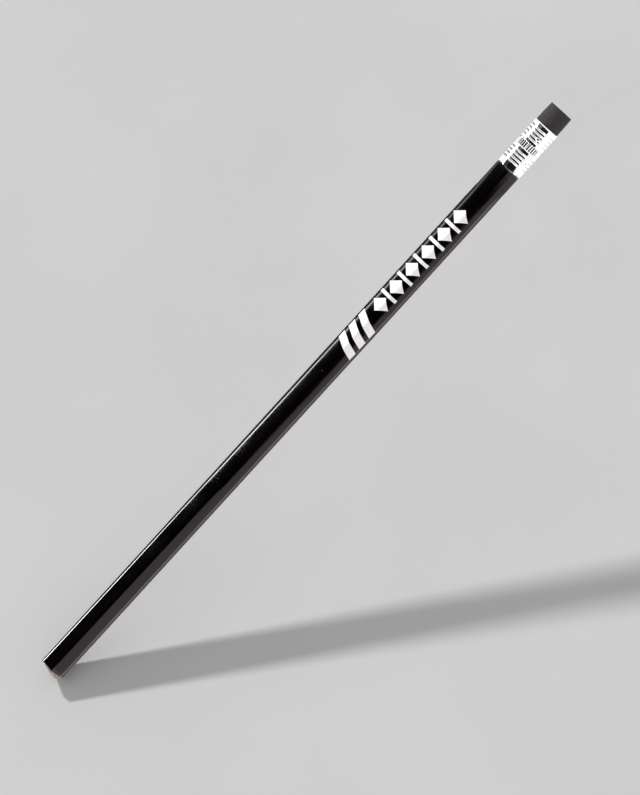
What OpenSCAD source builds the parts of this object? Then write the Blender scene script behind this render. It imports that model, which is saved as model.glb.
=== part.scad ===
// Graphite pencil: hexagonal wooden barrel with a lead, a lacquer coat, a printed band,
// a rolled aluminium ferrule and an eraser.
// Frame: the pencil lies along X on one of its flats. Z is up and z = 0 is the surface it lies on.
// The origin is under the middle of its length. The bare wood end is at -X, the eraser at +X.

/* [Barrel] */
// Length of the whole pencil, from the bare wood end to the top of the eraser
total_l = 190; // [170:1:200]
// Width of the barrel across its flats, over the lacquer
across_flats = 6.9; // [6.8:0.1:7.6]
// Radius of the barrel's rounded corners, over the lacquer
corner_r = 1.3; // [0.8:0.1:1.6]
// Thickness of the lacquer
lacquer_t = 0.1; // [0.06:0.01:0.15]
// How far the bare wood domes out past the edge of the lacquer
dome_h = 2; // [0.6:0.1:2.4]

/* [Lead] */
// Diameter of the graphite lead
lead_d = 2.1; // [1.8:0.1:2.4]
// Thickness of the glue between the slats and round the lead
glue_t = 0.06; // [0.04:0.01:0.1]

/* [Ferrule] */
// Length of the ferrule
ferrule_l = 13.7; // [13.6:0.1:16]
// Wall thickness of the ferrule
ferrule_t = 0.25; // [0.2:0.01:0.3]
// Length of wood inside the ferrule
tenon_l = 7.4; // [7:0.1:8]
// Depth of each rolled groove
groove_depth = 0.14; // [0.08:0.01:0.2]
// Distance from one rolled groove to the next
groove_pitch = 1; // [0.9:0.05:1.1]
// How many grooves each of the two bands has
groove_count = 4; // [3:1:4]
// How many flutes go round the middle band
flute_count = 32; // [32:2:36]

/* [Eraser] */
// Length of eraser that shows past the ferrule
eraser_l = 5.5; // [4:0.5:8]
// Diameter of the eraser where it shows
eraser_d = 6.7; // [6.5:0.1:6.7]
// Radius of the worn edge round the eraser's top
eraser_edge_r = 0.5; // [0.2:0.1:1]

/* [Imprint] */
// Distance from the bare wood end to the start of the printed band
print_start = 110; // [60:1:120]
// Thickness of the ink
ink_t = 0.03; // [0.02:0.01:0.06]
// Width of the row of lozenges and bars across the barrel
print_w = 4.8; // [3:0.2:5]

/* [Hidden] */
$fn = 96;

axis_z = across_flats / 2;
wood_end_x = -total_l / 2;
coat_x = wood_end_x + dome_h;
eraser_top_x = total_l / 2;
ferrule_top_x = eraser_top_x - eraser_l;
shoulder_x = ferrule_top_x - ferrule_l;
tenon_end_x = shoulder_x + tenon_l;

ferrule_r = across_flats / 2;
bore_r = ferrule_r - ferrule_t;
wood_af = across_flats - 2 * lacquer_t;
wood_corner_r = corner_r - lacquer_t;
corner_reach = (across_flats / 2 - corner_r) / cos(30) + corner_r;
// each corner's arc has this many steps on each side of its middle
corner_steps = 4;
// the domed end of the wood is the cap of a ball, and runs out just past the corners
dome_rim_r = corner_reach + 0.05;
dome_ball_r = (dome_rim_r * dome_rim_r + dome_h * dome_h) / (2 * dome_h);
dome_angle = asin(dome_rim_r / dome_ball_r);
dome_line = [for (k = [0:5])
    let (a = dome_angle * k / 5)
    [wood_end_x + dome_ball_r * (1 - cos(a)), dome_ball_r * sin(a)]];
// the barrel's corners are turned down to the ferrule over this length
shoulder_l = 0.4;

// rolled bands: where each one's first groove lies, from the ferrule's lower edge
lower_band_x = 2.05;
upper_band_x = 9.15;
groove_w = 0.7;
// the ferrule's upper edge is curled in over this length, by this much
curl_l = 0.7;
curl_depth = 0.06;
// middle band: where the flutes start and end, and how deep they are
flute_from = 6.15;
flute_to = 8.2;
flute_h = 0.07;
// the punched dimples: place from the ferrule's lower edge and angle round the axis, 0 = +Y
dimples = [[10.1, 128], [3.66, 162], [10.1, 308], [3.66, 342]];
dimple_r = 0.5;
dimple_depth = 0.22;

// printed band: slanted stripes first, then a row of lozenges and bars. It is stamped from this
// angle past +Z towards -Y, and the stripes reach further down the side than the row does
print_turn = 15;
stripe_count = 3;
stripe_w = 2.2;
stripe_pitch = 3.6;
stripe_slant = 2.5;
stripe_reach = 3.3;
lozenge_count = 6;
lozenge_l = 4.2;
motif_pitch = 5.8;
bar_w = 0.9;

// ---------- shared shapes ----------

// a hexagon with flats above and below and an arc at each corner
module rounded_hexagon(af, r) {
    reach = (af / 2 - r) / cos(30);
    polygon([for (k = [0:5], j = [-corner_steps:corner_steps])
        let (corner = 60 * k, a = corner + 30 * j / corner_steps)
        [reach * cos(corner) + r * cos(a), reach * sin(corner) + r * sin(a)]]);
}

// turns an outline drawn in X (across) and Y (up) into a bar along the pencil
module along_axis(from_x, to_x) {
    translate([from_x, 0, axis_z]) rotate([90, 0, 90])
        linear_extrude(height = to_x - from_x) children();
}

// a round bar on the pencil's axis
module round_bar(from_x, to_x, r) {
    along_axis(from_x, to_x) circle(r = r);
}

// turns an outline drawn as [place along the pencil, radius] round the axis
module turned(points) {
    translate([0, 0, axis_z]) rotate([0, 90, 0]) rotate_extrude()
        polygon([for (p = points) [p[1], p[0]]]);
}

// how deep the rolled wall is pressed in at a place s along the ferrule
function groove_at(s, band) =
    let (k = round((s - band) / groove_pitch),
         off = abs(s - band - k * groove_pitch))
    (k < 0 || k >= groove_count || off > groove_w / 2) ? 0
        : groove_depth * (1 + cos(360 * off / groove_w)) / 2;
function curl_at(s) = curl_depth * max(0, s - ferrule_l + curl_l) / curl_l;
function pressed_in(s) = groove_at(s, lower_band_x) + groove_at(s, upper_band_x) + curl_at(s);

// the places along the ferrule where its wall needs a point: each groove's edges, flanks and floor
function band_places(band) =
    [for (k = [0:groove_count - 1], j = [-2:2]) band + k * groove_pitch + j * groove_w / 4];
wall_places = concat([0], band_places(lower_band_x), band_places(upper_band_x),
                     [ferrule_l - curl_l, ferrule_l]);
function wall_line(r) = [for (s = wall_places) [shoulder_x + s, r - pressed_in(s)]];
function reversed(list) = [for (k = [len(list) - 1:-1:0]) list[k]];

// the space inside the ferrule, from its lower edge to its upper edge
module ferrule_bore() {
    turned(concat([[shoulder_x, 0]], wall_line(bore_r), [[ferrule_top_x, 0]]));
}

// one ball at each punched dimple, sunk so that it cuts to the given radius from the axis
module dimple_balls(r, floor_r) {
    for (d = dimples)
        translate([shoulder_x + d[0], 0, axis_z]) rotate([d[1], 0, 0])
            translate([0, floor_r + r, 0]) sphere(r = r);
}

// the dents that the dimples press into the wood and the eraser
module dimple_dents() {
    dimple_balls(dimple_r + ferrule_t, ferrule_r - dimple_depth - ferrule_t);
}

// the barrel's outside at the given size, with its domed end and its turned shoulder
module barrel(af, r, from_x) {
    intersection() {
        along_axis(from_x, shoulder_x) rounded_hexagon(af, r);
        turned(concat(dome_line, [
            [coat_x, corner_reach + 1],
            [shoulder_x - shoulder_l, corner_reach + 1],
            [shoulder_x - shoulder_l, ferrule_r + shoulder_l],
            [shoulder_x, ferrule_r],
            [shoulder_x, 0]
        ]));
    }
}

// whatever fills the ferrule between two places
module filling(from_x, to_x) {
    intersection() {
        ferrule_bore();
        round_bar(from_x, to_x, across_flats);
    }
}

// ---------- the pieces ----------

// the outside of the wood: the barrel and its turned tenon
module wood_outside() {
    barrel(wood_af, wood_corner_r, wood_end_x);
    filling(shoulder_x, tenon_end_x);
}

// the wood before it is split in two, with its bore for the lead
module wood() {
    difference() {
        wood_outside();
        round_bar(wood_end_x - 1, tenon_end_x + 1, lead_d / 2 + glue_t);
        dimple_dents();
    }
}

// the half-space above (side = 1) or below (side = -1) the glue line
module half(side) {
    translate([0, 0, axis_z + side * (glue_t + across_flats) / 2])
        cube([total_l, 2 * across_flats, across_flats], center = true);
}

module upper_slat() {
    color("burlywood") intersection() {
        wood();
        half(1);
    }
}

module lower_slat() {
    color("tan") intersection() {
        wood();
        half(-1);
    }
}

// the lead ends on the same dome as the wood
module graphite_core() {
    color("dimgray") intersection() {
        round_bar(wood_end_x, tenon_end_x, lead_d / 2);
        turned(concat(dome_line, [[tenon_end_x, dome_rim_r], [tenon_end_x, 0]]));
    }
}

// a strip on each side of the lead and a sleeve round it
module glue_film() {
    color("ivory") difference() {
        intersection() {
            wood_outside();
            union() {
                translate([0, 0, axis_z]) cube([total_l, 2 * across_flats, glue_t], center = true);
                round_bar(wood_end_x, tenon_end_x, lead_d / 2 + glue_t);
            }
        }
        round_bar(wood_end_x - 1, tenon_end_x + 1, lead_d / 2);
        dimple_dents();
    }
}

// a skin on the six flats, open at both ends
module lacquer_coat() {
    color("#121014") difference() {
        barrel(across_flats, corner_r, coat_x);
        along_axis(coat_x - 1, shoulder_x + 1) rounded_hexagon(wood_af, wood_corner_r);
    }
}

// the outline of the printed band, seen square on, starting at x = 0
module print_outline() {
    half_w = print_w / 2;
    for (k = [0:stripe_count - 1])
        translate([k * stripe_pitch, 0])
            polygon([[0, -stripe_reach], [stripe_w, -stripe_reach],
                     [stripe_w + stripe_slant, half_w], [stripe_slant, half_w]]);
    row_x = stripe_count * stripe_pitch + stripe_slant + lozenge_l / 2;
    for (k = [0:lozenge_count - 1])
        translate([row_x + k * motif_pitch, 0]) {
            polygon([[-lozenge_l / 2, 0], [0, -half_w], [lozenge_l / 2, 0], [0, half_w]]);
            if (k < lozenge_count - 1)
                translate([(motif_pitch - bar_w) / 2, -half_w]) square([bar_w, print_w]);
        }
}

// the printed band is a thin skin on top of the lacquer
module imprint() {
    color("white") intersection() {
        difference() {
            barrel(across_flats + 2 * ink_t, corner_r + ink_t, coat_x);
            along_axis(coat_x - 1, shoulder_x + 1) rounded_hexagon(across_flats, corner_r);
        }
        translate([wood_end_x + print_start, 0, axis_z]) rotate([print_turn, 0, 0])
            linear_extrude(height = across_flats) print_outline();
    }
}

// the outside of the middle band: flutes that stand as high as the plain wall
module fluted_bar() {
    along_axis(shoulder_x + flute_from, shoulder_x + flute_to)
        polygon([for (k = [0:2 * flute_count - 1])
            let (a = 180 * k / flute_count, r = ferrule_r - (k % 2) * flute_h)
            [r * cos(a), r * sin(a)]]);
}

// a tube with rolled grooves, a fluted middle band and punched dimples
module ferrule() {
    color("silver") difference() {
        union() {
            difference() {
                turned(concat(wall_line(ferrule_r), reversed(wall_line(bore_r))));
                difference() {
                    round_bar(shoulder_x + flute_from, shoulder_x + flute_to, ferrule_r + 1);
                    fluted_bar();
                }
            }
            // the dimples push the wall inwards
            intersection() {
                dimple_dents();
                ferrule_bore();
            }
        }
        dimple_balls(dimple_r, ferrule_r - dimple_depth);
    }
}

// a plug squeezed into the ferrule, slightly fuller where it shows
module eraser() {
    color("#3a3638") difference() {
        union() {
            filling(tenon_end_x, ferrule_top_x);
            turned([
                [ferrule_top_x, 0],
                [ferrule_top_x, eraser_d / 2],
                for (a = [0:15:90])
                    [eraser_top_x - eraser_edge_r * (1 - sin(a)),
                     eraser_d / 2 - eraser_edge_r * (1 - cos(a))],
                [eraser_top_x, 0]
            ]);
        }
        dimple_dents();
    }
}

upper_slat();
lower_slat();
graphite_core();
glue_film();
lacquer_coat();
imprint();
ferrule();
eraser();
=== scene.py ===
"""A black lacquered hexagonal graphite pencil with an aluminium ferrule and a charcoal eraser.

Sizes are in millimetres and angles in degrees. The pencil lies along X with its bare wood end at -X.
Angles round the pencil are measured from +Y towards +Z.
"""
import math

import bmesh
import bpy
from mathutils import Matrix, Vector, noise


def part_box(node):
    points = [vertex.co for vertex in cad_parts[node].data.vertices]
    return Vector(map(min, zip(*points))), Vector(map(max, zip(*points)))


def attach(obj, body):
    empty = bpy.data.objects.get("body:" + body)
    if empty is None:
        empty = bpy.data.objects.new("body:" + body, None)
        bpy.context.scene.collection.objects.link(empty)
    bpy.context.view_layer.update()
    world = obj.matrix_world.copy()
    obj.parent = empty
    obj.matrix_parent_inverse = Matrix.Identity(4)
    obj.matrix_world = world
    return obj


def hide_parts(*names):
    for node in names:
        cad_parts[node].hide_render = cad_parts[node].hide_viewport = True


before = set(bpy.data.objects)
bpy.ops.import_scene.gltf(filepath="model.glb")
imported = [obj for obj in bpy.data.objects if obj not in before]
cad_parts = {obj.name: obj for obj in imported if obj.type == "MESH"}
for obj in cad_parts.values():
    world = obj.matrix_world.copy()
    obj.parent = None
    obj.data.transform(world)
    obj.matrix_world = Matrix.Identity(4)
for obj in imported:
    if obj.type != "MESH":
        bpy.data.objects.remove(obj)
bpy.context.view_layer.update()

# ---------------------------------------------------------------------------------------------
# The two wooden slats. A barrel is two grooved halves of soft, straight-grained basswood, glued
# face to face and milled into a hexagon. The bare end is sawn, then sanded by hand to a shallow
# dome, a little askew, and the other end is turned down to a tenon for the ferrule.

MM = 0.001


def box_mm(node):
    low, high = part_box(node)
    return low / MM, high / MM


def linear(hex_colour):
    """An sRGB hex colour as the linear values that a shader takes."""
    values = [int(hex_colour[k:k + 2], 16) / 255 for k in (1, 3, 5)]
    return [v / 12.92 if v <= 0.04045 else ((v + 0.055) / 1.055) ** 2.4 for v in values] + [1.0]


def add(material, kind, links=None, stops=None, **settings):
    """Adds one shader node. Settings are its own options, links give its inputs a value, a hex
    colour or the output that feeds them, and stops are a colour ramp's (place, hex colour)."""
    node = material.node_tree.nodes.new("ShaderNode" + kind)
    for name, value in settings.items():
        setattr(node, name, value)
    for socket, value in (links or {}).items():
        if isinstance(value, bpy.types.NodeSocket):
            material.node_tree.links.new(value, node.inputs[socket])
        elif isinstance(value, str):
            node.inputs[socket].default_value = linear(value)
        else:
            node.inputs[socket].default_value = value
    for k, (place, colour) in enumerate(stops or []):
        ramp = node.color_ramp.elements
        stop = ramp[k] if k < len(ramp) else ramp.new(place)
        stop.position = place
        stop.color = linear(colour)
    return node


def new_material(name):
    """An empty material, whose output node finish_with adds later, and the piece's own coordinates in
    metres.
    """
    material = bpy.data.materials.new(name)
    material.use_nodes = True
    material.node_tree.nodes.clear()
    place = add(material, "TexCoord").outputs["Object"]
    return material, place


def finish_with(material, shader):
    out = add(material, "OutputMaterial", {"Surface": shader.outputs[0]})
    out.is_active_output = True


def per_mm(size):
    """The scale of a texture whose features are this many millimetres apart."""
    return 1 / (size * MM)


def wave(seed, *place):
    """A smooth, repeatable wobble between about -1 and 1, for hand-made unevenness."""
    return noise.noise(Vector([v + 17.3 * seed for v in place]))


def piece_from_skins(name, skins, sharp=35):
    """A piece of closed skins, each given as (rows, ring). A row is a closed outline of (x, y, z)
    points and is joined to the next row. A ring's last row is joined to its first, and any other
    skin has both end rows capped. Edges above the sharp angle stay sharp."""
    points = []
    faces = []
    for rows, ring in skins:
        first, across = len(points), len(rows[0])
        points += [p for row in rows for p in row]
        for i in range(len(rows) if ring else len(rows) - 1):
            a, b = first + i * across, first + (i + 1) % len(rows) * across
            for j in range(across):
                k = (j + 1) % across
                faces.append((a + j, a + k, b + k, b + j))
        if not ring:
            faces.append(tuple(range(first + across - 1, first - 1, -1)))
            faces.append(tuple(range(len(points) - across, len(points))))
    mesh = bpy.data.meshes.new(name)
    mesh.from_pydata([Vector(p) * MM for p in points], [], faces)
    work = bmesh.new()
    work.from_mesh(mesh)
    bmesh.ops.remove_doubles(work, verts=work.verts, dist=0.0005 * MM)
    bmesh.ops.dissolve_degenerate(work, edges=work.edges, dist=0.0005 * MM)
    bmesh.ops.recalc_face_normals(work, faces=work.faces)
    for edge in work.edges:
        edge.smooth = edge.calc_face_angle(0) < math.radians(sharp)
    for face in work.faces:
        face.smooth = True
    work.to_mesh(mesh)
    work.free()
    piece = bpy.data.objects.new(name, mesh)
    bpy.context.scene.collection.objects.link(piece)
    return piece


def put_on(piece, material, node):
    """The piece stands for a node of the frame, rides with the pencil and takes this finish."""
    piece.data.materials.append(material)
    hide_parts(node)
    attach(piece, "root")


coat_low, coat_high = box_mm("lacquer_coat")
lead_low, lead_high = box_mm("graphite_core")
TENON_END = lead_high.x
COAT_START = coat_low.x
SHOULDER = coat_high.x
AXIS_Z = (coat_low.z + coat_high.z) / 2
FLAT_R = (coat_high.z - coat_low.z) / 2
CORNER_R = 1.3
LACQUER = 0.1
LEAD_R = (lead_high.y - lead_low.y) / 2
GLUE = 0.06
TENON_R = FLAT_R - 0.42

# each milled flat is very slightly bowed, by this many degrees on each side of its middle
BOW = 1.6
BOW_RUN = (FLAT_R - CORNER_R) * math.tan(math.radians(30)) / (
    math.sin(math.radians(BOW)) + math.tan(math.radians(30)) * (1 - math.cos(math.radians(BOW))))
CORNER_OUT = (FLAT_R - CORNER_R - BOW_RUN * (1 - math.cos(math.radians(BOW)))) / math.cos(
    math.radians(30))


def round_axis(radius, turn):
    return radius * math.cos(math.radians(turn)), radius * math.sin(math.radians(turn))


def barrel_point(turn, inset=0.0):
    """Where the barrel's skin, this far under the lacquer's face, looks out at an angle."""
    flat = 60 * round((turn - 30) / 60) + 30
    lean = turn - flat
    out = round_axis(1, turn)
    if abs(lean) <= BOW:
        middle = round_axis(FLAT_R - CORNER_R - BOW_RUN, flat)
        run = BOW_RUN + CORNER_R - inset
    else:
        middle = round_axis(CORNER_OUT, flat + math.copysign(30, lean))
        run = CORNER_R - inset
    return middle[0] + run * out[0], middle[1] + run * out[1]


def barrel_turns(start, stop, flat_steps=6, corner_steps=20):
    """Angles round the barrel, from one flat-to-flat corner to another."""
    turns = []
    for side in range(6):
        corner = 60 * side
        turns += [corner - 30 + BOW + (60 - 2 * BOW) * k / corner_steps for k in range(corner_steps)]
        turns += [corner + 30 - BOW + 2 * BOW * k / flat_steps for k in range(flat_steps)]
    turns = sorted(t % 360 for t in turns)
    inside = [t for t in turns if start + 0.01 < t < stop - 0.01]
    return [start] + inside + [stop] if stop - start < 360 else turns


# the end was sanded by hand and a little askew: it stands out furthest towards this angle, it
# domes slightly, and its rim is rubbed down further from a certain radius outwards
SLANT_TURN = 210
SLANT = 1.5
DOME_H = 0.3
RIM_FROM = 2.7
RIM_DEPTH = 1.0


def dome_x(y, z):
    """Where the sanded end lies, with faint flats where it was rubbed."""
    side = round_axis(1, SLANT_TURN)
    across = (y * side[0] + z * side[1]) / FLAT_R
    reach = math.hypot(y, z)
    out = SLANT * (1 + across) / 2 + DOME_H * (1 - (reach / FLAT_R) ** 2)
    rim = RIM_DEPTH * (max(0, reach - RIM_FROM) / (FLAT_R - RIM_FROM)) ** 2
    rub = 0.02 * (1 + wave(3, y * 0.7, z * 0.7, 0)) + 0.01 * (1 + wave(9, y * 4, z * 0.6, 0))
    return min(COAT_START - out + rim + rub, COAT_START - 0.02)


def slat(name, side):
    """One half of the barrel, above (side 1) or below (side -1) the glue line."""
    rows = []
    for turn in barrel_turns(0, 180):
        outer = barrel_point(turn, LACQUER)
        bore = round_axis(LEAD_R + GLUE, turn)
        tenon = round_axis(TENON_R, turn)
        row = []
        for k in range(13):
            share = k / 12
            y = bore[0] + (outer[0] - bore[0]) * share
            z = bore[1] + (outer[1] - bore[1]) * share
            row.append((dome_x(y, z), y, z))
        reach = math.hypot(*outer)
        row += [(SHOULDER - max(0, reach - FLAT_R + 0.05), *outer)]
        row += [(SHOULDER - 0.05, *round_axis(min(reach, FLAT_R - 0.05), turn))]
        row += [(SHOULDER - 0.04, *tenon), (TENON_END - 0.2, *tenon)]
        row += [(TENON_END, *round_axis(TENON_R - 0.2, turn)), (TENON_END, *bore)]
        rows.append([(x, y, AXIS_Z + side * max(z, GLUE / 2)) for x, y, z in row])
    return piece_from_skins(name, [(rows, False)], sharp=40)


def bare_basswood(name, ring_centre):
    """Sawn and sanded basswood: pinkish, matt, with faint growth rings and fine open pores. The
    rings' middle lies outside the slat, since slats are cut from a much wider plank."""
    wood, place = new_material(name)
    moved = add(wood, "Mapping", {"Vector": place, "Location": [0] + [-v * MM for v in ring_centre]})
    rings = add(wood, "TexWave", {
        "Vector": moved.outputs[0], "Scale": per_mm(1.3) / 20, "Distortion": 1.2, "Detail": 2.0,
        "Detail Scale": 1.5}, wave_type="RINGS", rings_direction="X", wave_profile="SAW")
    # pores run with the grain, so they are dots on the end and short lines on the sides
    grain = add(wood, "Mapping", {"Vector": place, "Scale": (0.04, 1, 1)})
    pores = add(wood, "TexNoise", {
        "Vector": grain.outputs[0], "Scale": per_mm(0.16), "Detail": 3.0, "Roughness": 0.6})
    blotch = add(wood, "TexNoise", {"Vector": place, "Scale": per_mm(2.4), "Detail": 2.0})
    early = add(wood, "ValToRGB", {"Fac": rings.outputs["Fac"]},
                stops=[(0.0, "#b8a39d"), (0.75, "#a98f89"), (1.0, "#8d736d")])
    dots = add(wood, "MapRange", {"Value": pores.outputs["Fac"], "From Min": 0.36, "From Max": 0.52})
    open_pores = add(wood, "Mix", {0: dots.outputs[0], 6: "#7b605a", 7: early.outputs["Color"]},
                     data_type="RGBA")
    soil = add(wood, "MapRange", {
        "Value": blotch.outputs["Fac"], "From Min": 0.45, "From Max": 0.7, "To Max": 0.35})
    colour = add(wood, "Mix", {0: soil.outputs[0], 6: open_pores.outputs[2], 7: "#917770"},
                 data_type="RGBA")
    # the saw leaves fine parallel marks across the end, which sanding only softens
    saw = add(wood, "TexWave", {
        "Vector": place, "Scale": per_mm(0.42) / 20, "Distortion": 1.0, "Detail": 1.0},
        wave_type="BANDS", bands_direction="Y")
    height = add(wood, "Math", {0: saw.outputs["Fac"], 1: 0.4}, operation="MULTIPLY")
    relief = add(wood, "Math", {0: height.outputs[0], 1: dots.outputs[0]}, operation="ADD")
    bump = add(wood, "Bump", {"Height": relief.outputs[0], "Strength": 0.5, "Distance": 0.02 * MM})
    shader = add(wood, "BsdfPrincipled", {
        "Base Color": colour.outputs[2], "Roughness": 0.78, "IOR": 1.45, "Normal": bump.outputs[0]})
    finish_with(wood, shader)
    return wood


lower_slat = slat("lower_slat_wood", -1)
put_on(lower_slat, bare_basswood("basswood_lower_slat", (9.0, -6.5)), "lower_slat")
upper_slat = slat("upper_slat_wood", 1)
put_on(upper_slat, bare_basswood("basswood_upper_slat", (-5.0, 14.0)), "upper_slat")

# ---------------------------------------------------------------------------------------------
# The lead. Graphite and clay are extruded, fired hard and soaked in wax, then laid in the slats'
# groove. Sanding the end with the wood leaves a smooth dark disc with a soft grey shine.

LEAD_TURNS = 64


def lead_row(turn):
    row = [(dome_x(0, 0), 0, 0)]
    for share in (0.25, 0.5, 0.75, 0.94):
        y, z = round_axis(LEAD_R * share, turn)
        row.append((dome_x(y, z), y, z))
    edge = round_axis(LEAD_R, turn)
    row += [(dome_x(*edge) + 0.04, *edge), (TENON_END - 0.1, *edge)]
    row += [(TENON_END, *round_axis(LEAD_R - 0.1, turn)), (TENON_END, 0, 0)]
    return [(x, y, AXIS_Z + z) for x, y, z in row]


lead_rows = [lead_row(360 * k / LEAD_TURNS) for k in range(LEAD_TURNS)]
lead = piece_from_skins("graphite_lead", [(lead_rows, True)])

# fired graphite: dark grey, half-shiny where the sanding has burnished its flakes
graphite, place = new_material("sanded_graphite")
flakes = add(graphite, "TexNoise", {"Vector": place, "Scale": per_mm(0.12), "Detail": 4.0})
sanded = add(graphite, "Mapping", {"Vector": place, "Scale": (1, 0.15, 1), "Rotation": (0.6, 0, 0)})
lines = add(graphite, "TexNoise", {"Vector": sanded.outputs[0], "Scale": per_mm(0.1), "Detail": 2.0})
tone = add(graphite, "ValToRGB", {"Fac": flakes.outputs["Fac"]},
           stops=[(0.3, "#26262a"), (0.7, "#46464b")])
gloss = add(graphite, "MapRange", {
    "Value": lines.outputs["Fac"], "From Min": 0.3, "From Max": 0.7, "To Min": 0.3, "To Max": 0.55})
bump = add(graphite, "Bump", {"Height": lines.outputs["Fac"], "Strength": 0.4, "Distance": 0.01 * MM})
shader = add(graphite, "BsdfPrincipled", {
    "Base Color": tone.outputs["Color"], "Metallic": 0.35, "Roughness": gloss.outputs[0],
    "Normal": bump.outputs[0]})
finish_with(graphite, shader)
put_on(lead, graphite, "graphite_core")

# ---------------------------------------------------------------------------------------------
# The glue. White wood glue holds the slats together and the lead in its groove. Cured and sanded,
# it is a hairline across the end and a thin ring round the lead.

# sanding leaves the harder glue this much proud of the wood
GLUE_PROUD = 0.004


def glue_skins():
    """A sleeve round the lead and a strip on each side of it."""
    sleeve = []
    for k in range(LEAD_TURNS):
        turn = 360 * k / LEAD_TURNS
        inner, outer = round_axis(LEAD_R, turn), round_axis(LEAD_R + GLUE, turn)
        sleeve.append([(dome_x(*inner), *inner), (dome_x(*outer), *outer),
                       (TENON_END, *outer), (TENON_END, *inner)])
    skins = [(sleeve, True)]
    edge_y = barrel_point(0, LACQUER)[0]
    for side in (1, -1):
        strip = []
        for z in (-GLUE / 2, GLUE / 2):
            row = []
            for k in range(9):
                y = side * (LEAD_R + GLUE + (edge_y - LEAD_R - GLUE) * k / 8)
                row.append((dome_x(y, z) - GLUE_PROUD, y, z))
            row += [(SHOULDER - 0.4, side * edge_y, z), (SHOULDER - 0.1, side * TENON_R, z)]
            row += [(TENON_END, side * TENON_R, z), (TENON_END, side * (LEAD_R + GLUE), z)]
            strip.append(row)
        skins.append((strip, False))
    return [([[(x, y, AXIS_Z + z) for x, y, z in row] for row in rows], ring) for rows, ring in skins]


# cured white glue: pale amber, smooth and a little shiny where it was squeezed out
glue, place = new_material("cured_wood_glue")
cloud = add(glue, "TexNoise", {"Vector": place, "Scale": per_mm(0.6), "Detail": 2.0})
tone = add(glue, "ValToRGB", {"Fac": cloud.outputs["Fac"]}, stops=[(0.3, "#c9b994"), (0.7, "#e2d7bd")])
shader = add(glue, "BsdfPrincipled", {"Base Color": tone.outputs["Color"], "Roughness": 0.4, "IOR": 1.46})
finish_with(glue, shader)
put_on(piece_from_skins("glue_line", glue_skins()), glue, "glue_film")

# ---------------------------------------------------------------------------------------------
# The lacquer. The barrel is pushed through rubber seals with nitrocellulose lacquer, eight or so
# thin coats, which leaves a deep gloss skin with softly rounded corners. Sanding the end trims it
# to a slightly uneven edge.

# the trimmed lip, as (distance from the edge, depth under the face)
LIP = ((0, 0.1), (0.01, 0.06), (0.04, 0.03), (0.1, 0.01), (0.25, 0))
# the corners are turned down to the ferrule over this length
CONE = 0.5


def trim_at(turn):
    """Where the lacquer's edge lies at the sanded end."""
    return COAT_START - 0.05 + 0.05 * wave(21, turn / 24, 0, 0) + 0.02 * wave(22, turn / 5, 0, 0)


def coat_row(turn):
    edge = trim_at(turn % 360)
    reach = math.hypot(*barrel_point(turn))
    row = [(edge + along, *barrel_point(turn, depth)) for along, depth in LIP]
    runs = 60
    start, cone_start = edge + LIP[-1][0], SHOULDER - CONE
    for k in range(1, runs + 1):
        x = start + (cone_start - start) * k / runs
        # the skin is never quite even: a few microns thicker and thinner along the barrel
        depth = 0.004 * (1 + wave(31, x / 14, turn / 40, 0))
        row.append((x, *barrel_point(turn, depth)))
    for k in range(1, 6):
        x = cone_start + (SHOULDER - cone_start) * k / 5
        radius = min(reach - 0.004, FLAT_R + SHOULDER - x)
        y, z = barrel_point(turn)
        row.append((x, y * radius / reach, z * radius / reach))
    inner = barrel_point(turn, LACQUER)
    y, z = (v * min(1, FLAT_R / math.hypot(*inner)) for v in inner)
    row += [(SHOULDER, y * 0.98, z * 0.98), (cone_start, y * 0.98, z * 0.98)]
    row += [(SHOULDER - 1, *inner), (edge + 1, *inner)]
    return [(x, y, AXIS_Z + z) for x, y, z in row]


coat_rows = [coat_row(turn) for turn in barrel_turns(0, 360)]
coat = piece_from_skins("black_lacquer_coat", [(coat_rows, True)], sharp=50)

# nitrocellulose lacquer: near black and glossy, with a fine orange peel from drying, the wood's
# grain just telegraphing through lengthwise, and a little dust caught on it
lacquer, place = new_material("black_nitro_lacquer")
peel = add(lacquer, "TexNoise", {"Vector": place, "Scale": per_mm(1.1), "Detail": 1.0})
along = add(lacquer, "Mapping", {"Vector": place, "Scale": (0.02, 1, 1)})
telegraph = add(lacquer, "TexNoise", {"Vector": along.outputs[0], "Scale": per_mm(0.5), "Detail": 2.0})
both = add(lacquer, "Math", {0: peel.outputs["Fac"], 1: telegraph.outputs["Fac"]}, operation="ADD")
bump = add(lacquer, "Bump", {"Height": both.outputs[0], "Strength": 0.25, "Distance": 0.008 * MM})
cells = add(lacquer, "TexVoronoi", {"Vector": place, "Scale": per_mm(2.2)})
pick = add(lacquer, "SeparateColor", {0: cells.outputs["Color"]})
# specks are about a tenth of a millimetre, and only one cell in five holds one
size = add(lacquer, "MapRange", {
    "Value": pick.outputs[0], "From Min": 0.8, "From Max": 1.0, "To Min": 0.0, "To Max": 0.06})
speck = add(lacquer, "Math", {0: cells.outputs["Distance"], 1: size.outputs[0]}, operation="LESS_THAN")
rub = add(lacquer, "TexNoise", {"Vector": place, "Scale": per_mm(7), "Detail": 3.0})
black = add(lacquer, "ValToRGB", {"Fac": rub.outputs["Fac"]}, stops=[(0.3, "#030202"), (0.7, "#060404")])
colour = add(lacquer, "Mix", {0: speck.outputs[0], 6: black.outputs["Color"], 7: "#8a8484"},
             data_type="RGBA")
gloss = add(lacquer, "MapRange", {
    "Value": rub.outputs["Fac"], "From Min": 0.3, "From Max": 0.7, "To Min": 0.05, "To Max": 0.09})
rough = add(lacquer, "Mix", {0: speck.outputs[0], 2: gloss.outputs[0], 3: 0.8}, data_type="FLOAT")
shader = add(lacquer, "BsdfPrincipled", {
    "Base Color": colour.outputs[2], "Roughness": rough.outputs[0], "IOR": 1.5,
    "Normal": bump.outputs[0]})
finish_with(lacquer, shader)
put_on(coat, lacquer, "lacquer_coat")

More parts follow.
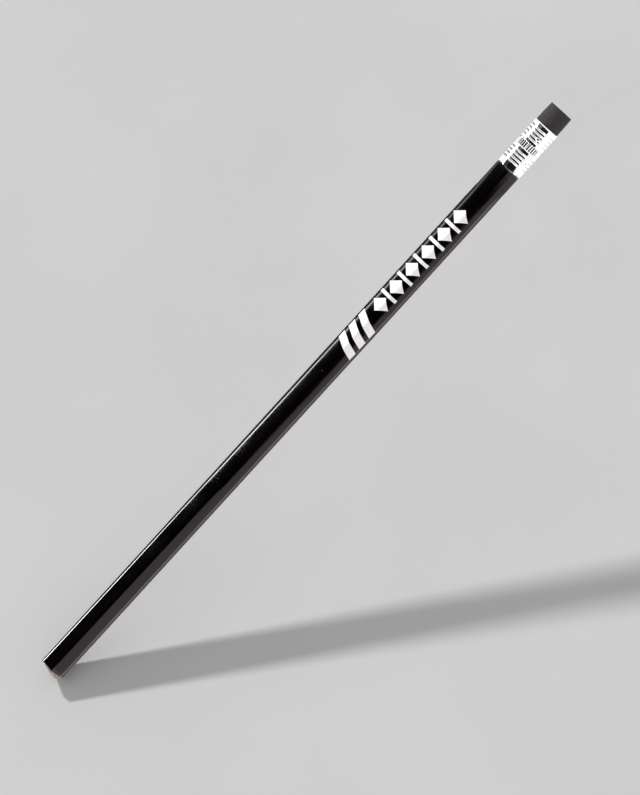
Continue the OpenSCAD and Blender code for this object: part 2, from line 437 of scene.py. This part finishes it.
# ---------------------------------------------------------------------------------------------
# The imprint. White pigment foil is hot-stamped through the lacquer's gloss: three slanted stripes,
# then a row of lozenges and bars. The hot die lays the pigment down as a film a few hundredths of a
# millimetre thick, with crisp but not perfect edges.

PRINT_X = box_mm("imprint")[0].x
PRINT_FACE = 105
# the film's height over the lacquer, and how far the hot die sank it into the gloss
INK = 0.026
INK_UNDER = 0.012
STRIPES = 3
STRIPE_W = 2.2
STRIPE_PITCH = 3.6
STRIPE_SLANT = 2.5
STRIPE_REACH = 3.3
ROW_HALF = 2.4
LOZENGES = 6
LOZENGE_L = 4.2
MOTIF_PITCH = 5.8
BAR_W = 0.9


def turn_at(across):
    """The angle round the barrel that lies this far across the stamping die."""
    side = round_axis(1, PRINT_FACE - 90)
    low, high = PRINT_FACE - 89, PRINT_FACE + 89
    for _ in range(40):
        middle = (low + high) / 2
        y, z = barrel_point(middle)
        if y * side[0] + z * side[1] > across:
            low = middle
        else:
            high = middle
    return middle


def ink_film(from_v, to_v, span_at, seed):
    """Rows across the barrel for one printed shape; span_at gives its two ends."""
    rows = []
    steps, runs = 30, 12
    for i in range(steps + 1):
        v = from_v + (to_v - from_v) * i / steps
        turn = turn_at(v)
        start, stop = span_at(v)
        start += 0.02 * wave(seed, v * 3, 0, 0)
        stop += 0.02 * wave(seed + 0.5, v * 3, 0, 0)
        xs = [start + (stop - start) * k / runs for k in range(runs + 1)]
        top = [(x, *barrel_point(turn, -INK)) for x in xs]
        under = [(x, *barrel_point(turn, INK_UNDER)) for x in reversed(xs)]
        rows.append([(x, y, AXIS_Z + z) for x, y, z in top + under])
    return rows


def imprint_rows():
    shapes = []
    for k in range(STRIPES):
        def stripe(v, k=k):
            lean = STRIPE_SLANT * (v + STRIPE_REACH) / (ROW_HALF + STRIPE_REACH)
            start = PRINT_X + k * STRIPE_PITCH + lean
            return start, start + STRIPE_W
        shapes.append(ink_film(-STRIPE_REACH, ROW_HALF, stripe, k))
    row_x = PRINT_X + STRIPES * STRIPE_PITCH + STRIPE_SLANT + LOZENGE_L / 2
    for k in range(LOZENGES):
        def lozenge(v, middle=row_x + k * MOTIF_PITCH):
            half = max(0.03, LOZENGE_L / 2 * (1 - abs(v) / ROW_HALF))
            return middle - half, middle + half
        shapes.append(ink_film(-ROW_HALF, ROW_HALF, lozenge, 10 + k))
        if k < LOZENGES - 1:
            def bar(v, middle=row_x + (k + 0.5) * MOTIF_PITCH):
                return middle - BAR_W / 2, middle + BAR_W / 2
            shapes.append(ink_film(-ROW_HALF, ROW_HALF, bar, 20 + k))
    return shapes


# stamped pigment foil: opaque white, satin, with pinholes where the foil missed a speck of dust
ink, place = new_material("stamped_white_foil")
cells = add(ink, "TexVoronoi", {"Vector": place, "Scale": per_mm(0.8)})
pick = add(ink, "SeparateColor", {0: cells.outputs["Color"]})
hole_size = add(ink, "MapRange", {
    "Value": pick.outputs[0], "From Min": 0.9, "From Max": 1.0, "To Min": 0.0, "To Max": 0.1})
hole = add(ink, "Math", {0: cells.outputs["Distance"], 1: hole_size.outputs[0]}, operation="LESS_THAN")
cover = add(ink, "TexNoise", {"Vector": place, "Scale": per_mm(1.5), "Detail": 3.0})
white = add(ink, "ValToRGB", {"Fac": cover.outputs["Fac"]}, stops=[(0.3, "#f0eff0"), (0.7, "#fbfbfa")])
colour = add(ink, "Mix", {0: hole.outputs[0], 6: white.outputs["Color"], 7: "#4a4647"}, data_type="RGBA")
bump = add(ink, "Bump", {"Height": cover.outputs["Fac"], "Strength": 0.3, "Distance": 0.01 * MM})
shader = add(ink, "BsdfPrincipled", {
    "Base Color": colour.outputs[2], "Roughness": 0.38, "IOR": 1.5, "Normal": bump.outputs[0]})
finish_with(ink, shader)
imprint = piece_from_skins("white_imprint", [(rows, False) for rows in imprint_rows()], sharp=50)
put_on(imprint, ink, "imprint")

# ---------------------------------------------------------------------------------------------
# The ferrule. A drawn aluminium tube is rolled on the machine that fits it: four grooves near each
# end, flutes round the middle, punched dimples that bite into the wood and the rubber, and an upper
# edge curled in over the eraser.

ferrule_low, ferrule_high = box_mm("ferrule")
FERRULE_X = ferrule_low.x
FERRULE_L = ferrule_high.x - ferrule_low.x
WALL = 0.25
BEAD_PITCH = 1.0
BEAD_W = 0.5
BEAD_DEPTH = 0.14
BEADS = 4
LOWER_BAND = 2.05
UPPER_BAND = 9.15
FLUTES = 32
FLUTE_FROM = 6.15
FLUTE_TO = 8.2
FLUTE_DEPTH = 0.18
DIMPLES = ((10.1, 128), (3.66, 162), (10.1, 308), (3.66, 342))
DIMPLE_R = 0.5
DIMPLE_DEPTH = 0.22
CURL_L = 0.7
CURL_DEPTH = 0.06


def ease(t):
    t = min(1, max(0, t))
    return t * t * (3 - 2 * t)


def beads_at(s, band):
    """How deep the rollers have pressed their narrow grooves, which leave flat beads between."""
    k = min(BEADS - 1, max(0, round((s - band) / BEAD_PITCH)))
    off = min(1, abs(s - band - k * BEAD_PITCH) / (BEAD_W / 2))
    floor_round = 0.15
    slope = (math.hypot(off, floor_round) - floor_round) / (math.hypot(1, floor_round) - floor_round)
    return BEAD_DEPTH * (1 - slope)


def ferrule_face(s, turn):
    """The rolled wall's outer radius at a place along the ferrule and an angle round it."""
    # the rollers ride up and down by a hair as the pencil turns under them
    ride = 0.09 * wave(41, *round_axis(2, turn), s / 3)
    depth = beads_at(s + ride, LOWER_BAND) + beads_at(s + ride, UPPER_BAND)
    fluted = ease((s - FLUTE_FROM) / 0.2) * ease((FLUTE_TO - s) / 0.2)
    # straight-sided flutes whose crests and floors are only just rounded
    depth += fluted * FLUTE_DEPTH * math.acos(0.97 * math.cos(math.radians(turn) * FLUTES)) / math.pi
    curl = max(0, s - FERRULE_L + CURL_L) / CURL_L
    depth += CURL_DEPTH * curl ** 2
    # both cut edges are rounded over
    depth += 0.04 * max(0, 1 - s / 0.12) ** 2 + 0.04 * max(0, 1 - (FERRULE_L - s) / 0.08) ** 2
    for place_s, place_turn in DIMPLES:
        turn_off = (turn - place_turn + 180) % 360 - 180
        away = math.hypot(s - place_s, math.radians(turn_off) * FLAT_R) / DIMPLE_R
        # each dimple has a faint raised rim
        if away < 1.6:
            depth += DIMPLE_DEPTH * (1 - ease(away / 1.1)) - 0.015 * ease(1 - abs(away - 1.25) / 0.35)
    dent = 0.012 * (1 + wave(42, *round_axis(2.5, turn), s / 2))
    return FLAT_R - max(depth + dent, 0)


def ferrule_row(turn):
    steps, inner_steps = 190, 36
    row = []
    for k in range(steps + 1):
        s = FERRULE_L * k / steps
        row.append((FERRULE_X + s, *round_axis(ferrule_face(s, turn), turn)))
    for k in range(inner_steps + 1):
        s = FERRULE_L * (1 - k / inner_steps)
        plain = FLAT_R - beads_at(s, LOWER_BAND) - beads_at(s, UPPER_BAND) - WALL
        curl = CURL_DEPTH * (max(0, s - FERRULE_L + CURL_L) / CURL_L) ** 2
        row.append((FERRULE_X + s, *round_axis(plain - curl, turn)))
    return [(x, y, AXIS_Z + z) for x, y, z in row]


FERRULE_TURNS = FLUTES * 10
ferrule_rows = [ferrule_row(360 * k / FERRULE_TURNS) for k in range(FERRULE_TURNS)]
ferrule = piece_from_skins("rolled_ferrule", [(ferrule_rows, True)], sharp=60)

# bright rolled aluminium: a cool mirror-like metal, with fine lines round it from the rollers,
# grey oxide and polish residue left in the grooves, and scuffs that blur its reflections
aluminium, place = new_material("bright_rolled_aluminium")
parts = add(aluminium, "SeparateXYZ", {"Vector": place})
height_z = add(aluminium, "Math", {0: parts.outputs["Z"], 1: AXIS_Z * MM}, operation="SUBTRACT")
flat_yz = add(aluminium, "CombineXYZ", {"Y": parts.outputs["Y"], "Z": height_z.outputs[0]})
radius = add(aluminium, "VectorMath", {0: flat_yz.outputs[0]}, operation="LENGTH")
pressed = add(aluminium, "MapRange", {
    "Value": radius.outputs["Value"], "From Min": (FLAT_R - 0.15) * MM, "From Max": (FLAT_R - 0.03) * MM,
    "To Min": 1.0, "To Max": 0.0})
# the rollers' lines are finer than a tenth of a millimetre and are drawn at 0.12 mm to show
squeezed = add(aluminium, "Mapping", {"Vector": place, "Scale": (1, 0.03, 0.03)})
lines = add(aluminium, "TexNoise", {"Vector": squeezed.outputs[0], "Scale": per_mm(0.12), "Detail": 2.0})
scuffs = add(aluminium, "TexNoise", {
    "Vector": place, "Scale": per_mm(1.3), "Detail": 5.0, "Roughness": 0.65, "Distortion": 0.6})
residue = add(aluminium, "MapRange", {
    "Value": scuffs.outputs["Fac"], "From Min": 0.38, "From Max": 0.62, "To Min": 0.1, "To Max": 0.6})
soiled = add(aluminium, "Math", {0: pressed.outputs[0], 1: residue.outputs[0]}, operation="MULTIPLY")
colour = add(aluminium, "Mix", {0: soiled.outputs[0], 6: "#ececee", 7: "#8d8a8b"}, data_type="RGBA")
gloss = add(aluminium, "MapRange", {
    "Value": scuffs.outputs["Fac"], "From Min": 0.3, "From Max": 0.7, "To Min": 0.05, "To Max": 0.12})
relief = add(aluminium, "Math", {0: lines.outputs["Fac"], 1: scuffs.outputs["Fac"]}, operation="ADD")
bump = add(aluminium, "Bump", {"Height": relief.outputs[0], "Strength": 0.25, "Distance": 0.006 * MM})
shader = add(aluminium, "BsdfPrincipled", {
    "Base Color": colour.outputs[2], "Metallic": 1.0, "Roughness": gloss.outputs[0],
    "Normal": bump.outputs[0]})
finish_with(aluminium, shader)
put_on(ferrule, aluminium, "ferrule")

# ---------------------------------------------------------------------------------------------
# The eraser. A plug of vulcanised rubber with carbon black, factice and fine grit is cut from an
# extruded rod, tumbled to soften its edges and pressed into the ferrule.

ERASER_TOP = box_mm("eraser")[1].x
FERRULE_TOP = FERRULE_X + FERRULE_L
ERASER_BASE_R = 3.33
ERASER_TOP_R = 3.24
ERASER_EDGE = 0.3
ERASER_TURNS = 180


def eraser_profile():
    """(x, radius) from the middle of the hidden end, along the outside, to the middle of the top."""
    plug_r = FLAT_R - WALL - BEAD_DEPTH - 0.03
    line = [(TENON_END + 0.05, 0), (TENON_END + 0.05, plug_r * 0.5), (TENON_END + 0.05, plug_r - 0.15)]
    line += [(TENON_END + 0.2, plug_r), (FERRULE_TOP - 1.4, plug_r), (FERRULE_TOP - 0.5, 3.06)]
    line += [(FERRULE_TOP - 0.05, 3.1), (FERRULE_TOP + 0.05, 3.16), (FERRULE_TOP + 0.25, ERASER_BASE_R)]
    side_steps = 26
    start, stop = FERRULE_TOP + 0.45, ERASER_TOP - ERASER_EDGE - 0.03
    for k in range(side_steps + 1):
        share = k / side_steps
        taper = (ERASER_TOP_R - ERASER_BASE_R) * share + 0.02 * math.sin(math.pi * share)
        line.append((start + (stop - start) * share, ERASER_BASE_R + taper))
    for k in range(1, 9):
        y, z = round_axis(ERASER_EDGE, 90 - 90 * k / 8)
        line.append((stop + y, ERASER_TOP_R - ERASER_EDGE + z))
    top_steps = 18
    for k in range(1, top_steps + 1):
        share = 1 - k / top_steps
        r = (ERASER_TOP_R - ERASER_EDGE) * share
        line.append((stop + ERASER_EDGE + 0.015 * (1 - share ** 2), r))
    return line


def eraser_row(turn, line):
    row = []
    for x, r in line:
        y, z = round_axis(r, turn)
        rough = 0
        if x > FERRULE_TOP + 0.1:
            # tumbling leaves the skin faintly lumpy, and grit stands out of it
            rough = 0.016 * wave(51, x, y, z) + 0.008 * wave(52, x * 4, y * 4, z * 4) - 0.02
        on_top = ease((x - ERASER_TOP + ERASER_EDGE) / ERASER_EDGE)
        side = round_axis(r + rough * (1 - on_top) if r > 0 else 0, turn)
        row.append((min(x + min(rough, 0) * on_top, ERASER_TOP), side[0], AXIS_Z + side[1]))
    return row


eraser_line = eraser_profile()
eraser_rows = [eraser_row(360 * k / ERASER_TURNS, eraser_line) for k in range(ERASER_TURNS)]
eraser = piece_from_skins("charcoal_eraser", [(eraser_rows, True)], sharp=60)

# vulcanised rubber: charcoal, matt and a little dusty, with a fine ground grain and pale specks
# of filler
rubber, place = new_material("charcoal_rubber")
# the grit is finer than 0.05 mm and is drawn at 0.16 mm to show
grain = add(rubber, "TexNoise", {"Vector": place, "Scale": per_mm(0.16), "Detail": 3.0, "Roughness": 0.6})
patches = add(rubber, "TexNoise", {"Vector": place, "Scale": per_mm(1.8), "Detail": 3.0})
base = add(rubber, "ValToRGB", {"Fac": patches.outputs["Fac"]}, stops=[(0.3, "#130f10"), (0.7, "#1d1819")])
cells = add(rubber, "TexVoronoi", {"Vector": place, "Scale": per_mm(0.55)})
pick = add(rubber, "SeparateColor", {0: cells.outputs["Color"]})
filler_size = add(rubber, "MapRange", {
    "Value": pick.outputs[0], "From Min": 0.75, "From Max": 1.0, "To Min": 0.0, "To Max": 0.16})
filler = add(rubber, "Math", {0: cells.outputs["Distance"], 1: filler_size.outputs[0]},
             operation="LESS_THAN")
dust = add(rubber, "MapRange", {
    "Value": grain.outputs["Fac"], "From Min": 0.48, "From Max": 0.72, "To Min": 0.0, "To Max": 0.45})
dusty = add(rubber, "Mix", {0: dust.outputs[0], 6: base.outputs["Color"], 7: "#6c6668"}, data_type="RGBA")
colour = add(rubber, "Mix", {0: filler.outputs[0], 6: dusty.outputs[2], 7: "#77706f"}, data_type="RGBA")
bump = add(rubber, "Bump", {"Height": grain.outputs["Fac"], "Strength": 0.6, "Distance": 0.03 * MM})
shader = add(rubber, "BsdfPrincipled", {
    "Base Color": colour.outputs[2], "Roughness": 0.88, "IOR": 1.52, "Normal": bump.outputs[0]})
finish_with(rubber, shader)
put_on(eraser, rubber, "eraser")

# ---------------------------------------------------------------------------------------------
# The stage, which isn't part of the pencil: a pale matt floor that the bare wood end touches, soft
# light from behind, studio cards that only the gloss can see, and the camera.

# the floor's own up direction: the pencil leans over it, so its shadow leaves it at an angle
FLOOR_UP = Vector((0.416, 0.073, 0.906)).normalized()
FLOOR_SIZE = 8000


def stage_piece(name, points, faces, material):
    mesh = bpy.data.meshes.new(name)
    mesh.from_pydata([Vector(p) * MM for p in points], [], faces)
    mesh.materials.append(material)
    thing = bpy.data.objects.new(name, mesh)
    bpy.context.scene.collection.objects.link(thing)
    return thing


def glow(name, colour, strengths):
    """A shining surface. Strengths are (x, strength) pairs along the pencil, or just one pair."""
    material, place = new_material(name)
    x = add(material, "SeparateXYZ", {"Vector": place}).outputs["X"]
    strength = strengths[0][1]
    for (from_x, _), (to_x, value) in zip(strengths, strengths[1:]):
        step = add(material, "MapRange", {
            "Value": x, "From Min": from_x * MM, "From Max": to_x * MM, "To Min": 0.0, "To Max": 1.0})
        strength = add(material, "Mix", {0: step.outputs[0], 2: strength, 3: value},
                       data_type="FLOAT").outputs[0]
    finish_with(material, add(material, "Emission", {"Color": colour, "Strength": strength}))
    return material


def card(name, material, edges, radius=450):
    """A curved studio card round the pencil's axis that only glossy reflections see. Its edges are
    (x, low angle, high angle) along the pencil."""
    steps = 24
    points = []
    for x, low, high in edges:
        for k in range(steps + 1):
            y, z = round_axis(radius, low + (high - low) * k / steps)
            points.append((x, y, AXIS_Z + z))
    across = steps + 1
    faces = [(a + j, a + j + 1, a + across + j + 1, a + across + j)
             for a in range(0, (len(edges) - 1) * across, across) for j in range(steps)]
    thing = stage_piece(name, points, faces, material)
    for ray in ("camera", "diffuse", "shadow", "transmission", "volume_scatter"):
        setattr(thing, "visible_" + ray, False)
    return thing


# matt paper: a pale grey sheet with the faintest mottling
paper, place = new_material("matt_paper")
mottle = add(paper, "TexNoise", {"Vector": place, "Scale": per_mm(60), "Detail": 3.0})
tone = add(paper, "ValToRGB", {"Fac": mottle.outputs["Fac"]}, stops=[(0.3, "#bababa"), (0.7, "#bebebe")])
sheet = add(paper, "BsdfDiffuse", {"Color": tone.outputs["Color"]})
# the sheet is seen from its upper side only, so that it never hides the pencil from below
under = add(paper, "NewGeometry").outputs["Backfacing"]
finish_with(paper, add(paper, "MixShader", {
    0: under, 1: sheet.outputs[0], 2: add(paper, "BsdfTransparent").outputs[0]}))

lowest = min((v.co @ FLOOR_UP for p in (coat, lower_slat, upper_slat) for v in p.data.vertices))
touch = FLOOR_UP * lowest / MM
side_a = FLOOR_UP.cross(Vector((0, 1, 0))).normalized() * FLOOR_SIZE / 2
side_b = FLOOR_UP.cross(side_a).normalized() * FLOOR_SIZE / 2
floor = stage_piece(
    "paper_floor", [touch - side_a - side_b, touch + side_a - side_b, touch + side_a + side_b,
                    touch - side_a + side_b], [(0, 1, 2, 3)], paper)
floor.visible_glossy = False

world = bpy.data.worlds.new("studio")
world.use_nodes = True
world.node_tree.nodes["Background"].inputs["Color"].default_value = (1, 1, 1, 1)
world.node_tree.nodes["Background"].inputs["Strength"].default_value = 0.61
bpy.context.scene.world = world

sun = bpy.data.lights.new("key_light", "SUN")
sun.energy = 2.65
sun.angle = math.radians(4)
key = bpy.data.objects.new("key_light", sun)
key.rotation_mode = "QUATERNION"
key.rotation_quaternion = Vector((-0.305, -0.802, -0.513)).to_track_quat("-Z", "Y")
bpy.context.scene.collection.objects.link(key)

fill_sun = bpy.data.lights.new("fill_light", "SUN")
fill_sun.energy = 1.1
fill_sun.angle = math.radians(90)
fill = bpy.data.objects.new("fill_light", fill_sun)
fill.rotation_mode = "QUATERNION"
fill.rotation_quaternion = Vector((0.5, 0.75, -0.43)).to_track_quat("-Z", "Y")
fill.visible_glossy = False
bpy.context.scene.collection.objects.link(fill)

# a black card stops just short of a long strip light, so one corner of the barrel carries a thin
# bright line; the board opposite lights the facet beside it, and a white tent closes the rest
card("black_card", glow("black_velvet", "#ffffff", [(20, 0.0), (150, 0.02)]),
     [(-260, 20, 118), (-194, 41, 138), (-164, 50, 150), (-104, 56, 177.2), (-52, 56.6, 178.5),
      (49, 57, 179.3), (60, 55, 179.3), (66, 51, 162), (160, 51, 160)])
card("strip_light", glow("strip_glow", "#ffffff", [(-150, 45.0), (-104, 28.0), (-52, 14.0), (49, 3.0)]),
     [(-260, 4, 20), (-194, 27, 41), (-164, 39, 50), (-104, 46, 56), (-52, 50, 56.6),
      (49, 50, 57), (66, 44, 51), (160, 44, 51)])
card("grey_card", glow("grey_board", "#ffffff", [(0, 0.25)]),
     [(-300, -80, 4), (-194, -80, 27), (-164, -80, 39), (-104, -80, 46), (50, -80, 50)], radius=460)
card("edge_strip", glow("edge_glow", "#fff0ee", [(-200, 4.5), (50, 4.2)]),
     [(-400, 184, 200), (50, 184, 200)], radius=480)
card("warm_board", glow("warm_board", "#fff0ee", [(-100, 0.92), (0, 0.98)]),
     [(-270, 130, 300), (58, 130, 300)], radius=600)
for name, start, stop in (("left_board", -1800, -270), ("right_board", 58, 1800)):
    card(name, glow(name, "#ffffff", [(0, 1.6)]),
         [(start, 130, 300), (stop, 130, 300)], radius=600)
# a dim card in front of the black one greys the ferrule's dark band on one side
card("dim_card", glow("dim_board", "#ffffff", [(0, 0.16)]), [(66, 51, 92), (160, 51, 92)], radius=440)
card("white_tent", glow("white_tent", "#ffffff", [(0, 1.15)]),
     [(-4000, -180, 180), (4000, -180, 180)], radius=1400)

VIEW_TURN = 120
VIEW_TILT = 7
VIEW_ROLL = 47.6
VIEW_DISTANCE = 774
camera_data = bpy.data.cameras.new("camera")
camera_data.lens = 141.7
camera_data.sensor_width = 36
camera = bpy.data.objects.new("camera", camera_data)
bpy.context.scene.collection.objects.link(camera)
tilt = math.radians(VIEW_TILT)
roll = math.radians(VIEW_ROLL)
back = Vector((math.sin(tilt), *[v * math.cos(tilt) for v in round_axis(1, VIEW_TURN)]))
along_pencil = (Vector((1, 0, 0)) - back * back.x).normalized()
across_pencil = along_pencil.cross(back)
right = along_pencil * math.cos(roll) + across_pencil * math.sin(roll)
up = along_pencil * math.sin(roll) - across_pencil * math.cos(roll)
place_mm = Vector((0, 0, AXIS_Z)) + back * VIEW_DISTANCE + right * 4.65 - up * 0.27
camera.matrix_world = Matrix.Translation(place_mm * MM) @ Matrix((right, up, back)).transposed().to_4x4()
bpy.context.scene.camera = camera
bpy.context.scene.view_settings.view_transform = "Standard"
